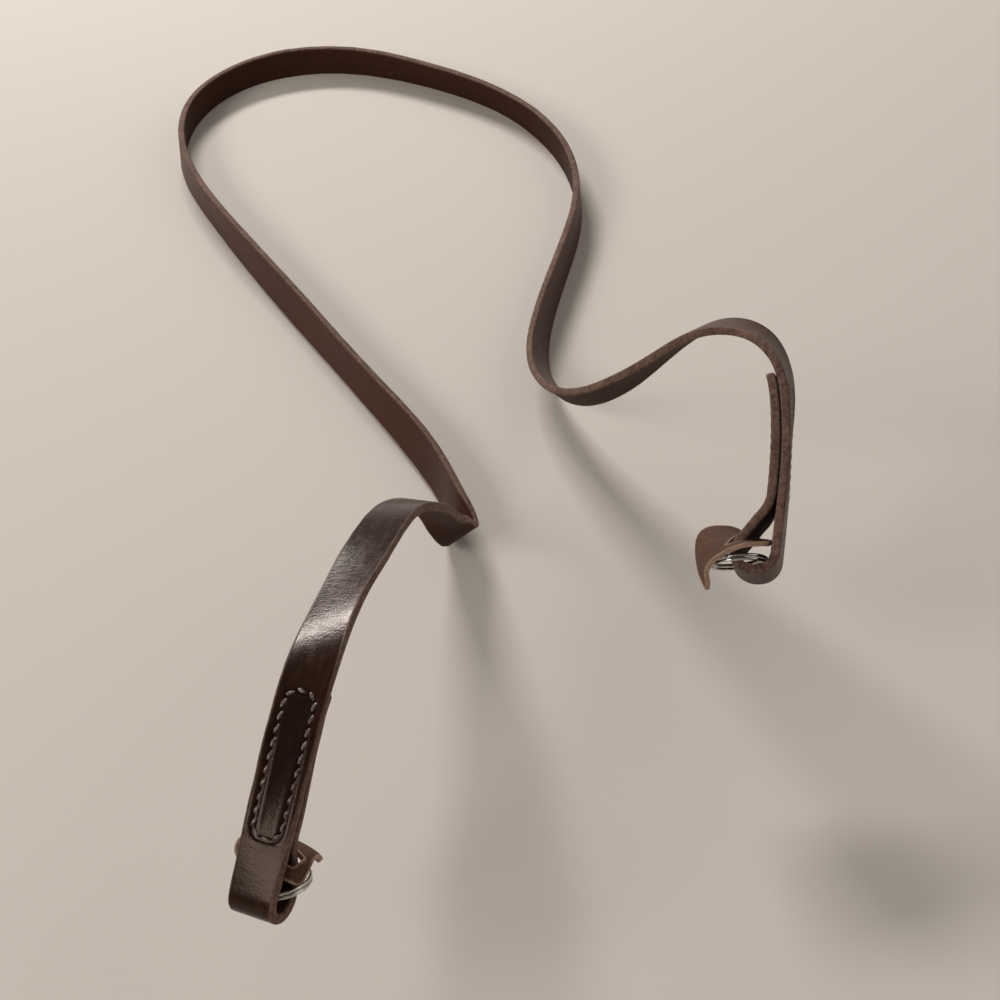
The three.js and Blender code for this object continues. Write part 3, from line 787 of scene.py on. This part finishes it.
# the faces are lightened along every cut edge: the dye is worn off there, and the lighter rim is also a
# painted highlight
border = add(tree, "ShaderNodeAttribute", attribute_name="border").outputs["Fac"]
rim_wear_and_highlight = maths(tree, "MULTIPLY", spread(tree, border, 0.75, 0.25), 0.8)
# worn dye and painted highlight together: a paler colour toward the outline and the slot
face = blend(tree, rim_wear_and_highlight, face, two_tone(tree, nap, 0.3, "#80604a", 0.7, "#c4a68d"))
tree.links.new(face, shader.inputs["Base Color"])
shader.inputs["Roughness"].default_value = 0.62
shader.inputs["Specular IOR Level"].default_value = 0.16
relief(tree, shader, nap, 0.6, 0.4)

tab_rim, tree, shader = new_material("cut edge of thin cowhide")
own = add(tree, "ShaderNodeTexCoord").outputs["Object"]
nap = noise(tree, own, 0.6, 5.0, 0.7)
tree.links.new(two_tone(tree, nap, 0.3, "#7a5945", 0.7, "#bd9d84"), shader.inputs["Base Color"])
shader.inputs["Roughness"].default_value = 0.75
relief(tree, shader, nap, 0.4, 0.3)

for end in ("right", "left"):
    length, surface = tab_surface(end)
    v0, v1, first, last = find_slot(end, surface)
    middle_v = (v0 + v1) / 2
    u0, u1 = np.polyval(first, middle_v), np.polyval(last, middle_v)
    u_lines = stepped(0, 1, u0, u1, TAB_STEPS[0])
    v_lines = stepped(0, 1, v0, v1, TAB_STEPS[1])
    u, v = np.meshgrid(u_lines, v_lines, indexing="ij")
    # the grid lines across the plate are bent so that two of them run along the slot's long sides
    held = np.clip(v, v0, v1)
    low_u, high_u = np.polyval(first, held), np.polyval(last, held)
    before = u / u0 * low_u
    beside = low_u + (u - u0) / (u1 - u0) * (high_u - low_u)
    after = high_u + (u - u1) / (1 - u1) * (1 - high_u)
    bent = np.where(u < u0, before, np.where(u > u1, after, beside))
    points = surface(bent, v)
    quads = grid_faces(len(u_lines), len(v_lines), False)
    at_u = (u.ravel()[quads].min(1) >= u0 - 1e-5) & (u.ravel()[quads].max(1) <= u1 + 1e-5)
    at_v = (v.ravel()[quads].min(1) >= v0 - 1e-5) & (v.ravel()[quads].max(1) <= v1 + 1e-5)
    quads = quads[~(at_u & at_v)]
    # how far each point lies from the nearest cut edge: the outline and the slot's four sides
    flat = points.reshape(-1, 3)
    sides = np.sort(np.stack([quads, np.roll(quads, -1, axis=1)], -1).reshape(-1, 2), axis=1)
    pairs, times = np.unique(sides, axis=0, return_counts=True)
    rim = flat[np.unique(pairs[times == 1])]
    border = np.sqrt(((flat[:, None] - rim[None]) ** 2).sum(-1)).min(1)
    used = np.unique(quads)
    index = np.full(points.size // 3, -1)
    index[used] = np.arange(len(used))
    tab = make_piece("leather_tab_" + end, flat[used], index[quads], values={"border": border[used]})
    tab.data.materials.append(tab_leather)
    tab.data.materials.append(tab_rim)
    thick = tab.modifiers.new("thickness", "SOLIDIFY")
    thick.thickness = TAB_THICK * MM
    thick.offset = 0
    thick.use_even_offset = True
    thick.material_offset_rim = 1
    rub = tab.modifiers.new("rubbed corners", "BEVEL")
    rub.width = 0.15 * MM
    rub.segments = 3
    rub.limit_method = "ANGLE"
    rub.angle_limit = np.radians(50)
    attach(tab, "root")
    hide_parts("tab_" + end)
    print("tab %s: %.0f mm long, slot u %.2f-%.2f v %.2f-%.2f" % (end, length, u0, u1, v0, v1))

# %% [markdown]
# ## Stitching
# The two layers are saddle stitched in a long closed box, with waxed thread as thick as the stitches
# are short. Each stitch shows on both sides as a fat little bar that leans a few degrees and dives
# into its holes. One stitch is a tube whose radius has the two plies of the twist in it.

# %% Stitches round a box
STITCH_PITCH = 3.1
THREAD = 0.95
# sunk into its hole at both ends, and how far its middle rises from there
STITCH_SUNK = 0.68
STITCH_RISE = 0.52
STITCH_LEAN = 0.34
STITCH_GAP = 0.13
STITCH_POINTS = 9
STITCH_SIDES = 8


def stitch_box():
    """Points round a box with round corners, evenly spaced: distance from the end, and across."""
    middle, reach = (STITCH_FAR + STITCH_NEAR) / 2, (STITCH_FAR - STITCH_NEAR) / 2
    angle = np.linspace(0, np.pi / 2, 9)
    parts = []
    for quarter, (a, b) in enumerate([(1, 1), (-1, 1), (-1, -1), (1, -1)]):
        turn = angle + quarter * np.pi / 2
        parts.append(np.column_stack([middle + a * (reach - BOX_CORNER) + BOX_CORNER * np.cos(turn),
                                      b * (STITCH_OFF - BOX_CORNER) + BOX_CORNER * np.sin(turn)]))
    line = np.vstack(parts + [parts[0][:1]])
    s = np.r_[0, np.cumsum(np.linalg.norm(np.diff(line, axis=0), axis=1))]
    count = round(s[-1] / STITCH_PITCH)
    return np.column_stack([np.interp(np.linspace(0, s[-1], count + 1)[:-1], s, line[:, k]) for k in (0, 1)])


def stitches(end, face):
    """All stitches of one face. A stitch rises from its hole by a half sine and leans across its line."""
    box = stitch_box()
    ahead = np.roll(box, -1, axis=0)
    step = ahead - box
    lean = np.column_stack([-step[:, 1], step[:, 0]]) / STITCH_PITCH * STITCH_LEAN
    k = np.linspace(0, 1, STITCH_POINTS)[None, :, None]
    start, stop = box + STITCH_GAP * step - lean, ahead - STITCH_GAP * step + lean
    route = start[:, None] * (1 - k) + stop[:, None] * k
    rise = -STITCH_SUNK + STITCH_RISE * np.sin(np.pi * k[0, :, 0]) ** 0.5
    flat = route.reshape(-1, 2)
    p, _, w, n = from_end(end, flat[:, 0])
    seam = 0 if face == "front" else -(STRAP_THICK + SEAM_GAP)
    out = 1 if face == "front" else -1
    level = seam + out * (STRAP_THICK / 2 + np.tile(rise, len(box)))
    lines = (p + w * flat[:, 1:2] + n * level[:, None]).reshape(len(box), STITCH_POINTS, 3)
    t = unit(np.gradient(lines, axis=1))
    up = (n * out).reshape(len(box), STITCH_POINTS, 3)
    beside = unit(np.cross(t, up))
    up = np.cross(beside, t)
    angle = np.linspace(0, 2 * np.pi, STITCH_SIDES, endpoint=False)
    twist = np.cos(2 * angle[None, :] + np.linspace(0, 7, STITCH_POINTS)[:, None])
    fullness = 0.55 + 0.45 * np.sin(np.pi * np.linspace(0.12, 0.88, STITCH_POINTS))
    r = THREAD / 2 * (1 + 0.16 * twist) * fullness[:, None]
    cos, sin = np.cos(angle)[None, None, :, None], np.sin(angle)[None, None, :, None]
    ring = r[None, :, :, None] * (cos * up[:, :, None] + sin * beside[:, :, None])
    points = (lines[:, :, None] + ring).reshape(len(box), -1, 3)
    size = STITCH_POINTS * STITCH_SIDES
    one = [list(f) for f in grid_faces(STITCH_POINTS, STITCH_SIDES, True)]
    one += [list(range(STITCH_SIDES))[::-1], list(range(size - STITCH_SIDES, size))]
    faces = [[i + size * j for i in f] for j in range(len(box)) for f in one]
    return points.reshape(-1, 3), faces


thread, tree, shader = new_material("waxed linen thread, dark brown")
own = add(tree, "ShaderNodeTexCoord").outputs["Object"]
strand = noise(tree, own, 0.8, 4.0)
tree.links.new(two_tone(tree, strand, 0.34, "#30201a", 0.66, "#947b6f"), shader.inputs["Base Color"])
shader.inputs["Roughness"].default_value = 0.38
shader.inputs["Coat Weight"].default_value = 0.3
shader.inputs["Coat Roughness"].default_value = 0.25
relief(tree, shader, strand, 0.3, 0.15)
for end in ("right", "left"):
    for face in ("front", "back"):
        points, faces = stitches(end, face)
        sewn = make_piece("stitches_%s_%s" % (end, face), points, faces)
        face_out(sewn)
        sewn.data.materials.append(thread)
        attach(sewn, "root")
print("stitches on each face:", len(stitch_box()))
